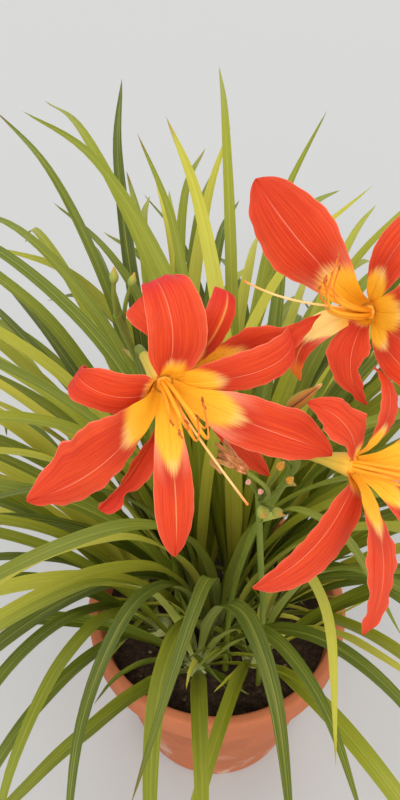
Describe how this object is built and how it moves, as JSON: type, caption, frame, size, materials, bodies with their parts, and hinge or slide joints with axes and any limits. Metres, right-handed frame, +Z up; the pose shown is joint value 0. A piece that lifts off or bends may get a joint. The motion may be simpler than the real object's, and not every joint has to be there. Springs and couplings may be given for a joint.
{
  "type": "potted daylily plant",
  "caption": "Clump of arching strap leaves with red and yellow trumpet blooms on slim stalks, growing in a plain round clay pot.",
  "frame": {"origin": "middle of the pot's flat base, on the surface that it stands on", "axes": "+Z up, -Y towards the side that the blooms face, +X to the right of that side"},
  "size_m": [0.7203, 0.7239, 0.8166],
  "materials": {
    "terracotta": "unglazed fired clay, dry and slightly blotched",
    "soil": "dark crumbly potting mix",
    "stem": "smooth green stalk, slightly waxy",
    "leaf": "yellow-green strap leaf with fine lengthwise veins",
    "tepal": "red-orange with a yellow throat, satin",
    "stamen": "pale apricot filaments with orange anthers",
    "bud": "orange-brown bud, satin",
    "withered": "limp shrivelled bloom, matte"
  },
  "bodies": {
    "root": {"pot": "terracotta", "soil": "soil", "scape_front": "stem", "scape_upper": "stem", "scape_lower": "stem", "scape_spent": "stem", "bloom_front_tepals": "tepal", "bloom_front_stamens": "stamen", "bloom_rear_tepals": "tepal", "bloom_rear_stamens": "stamen", "bloom_upper_tepals": "tepal", "bloom_upper_stamens": "stamen", "bloom_lower_tepals": "tepal", "bloom_lower_stamens": "stamen", "bud_ripe": "bud", "bud_small_1": "bud", "bud_small_2": "bud", "withered_bloom": "withered", "leaf_fan_1": "leaf", "leaf_fan_2": "leaf", "leaf_fan_3": "leaf", "leaf_fan_4": "leaf", "leaf_fan_5": "leaf", "leaf_fan_6": "leaf", "leaf_fan_7": "leaf", "leaf_fan_8": "leaf", "leaf_fan_9": "leaf"}
  },
  "joints": []
}
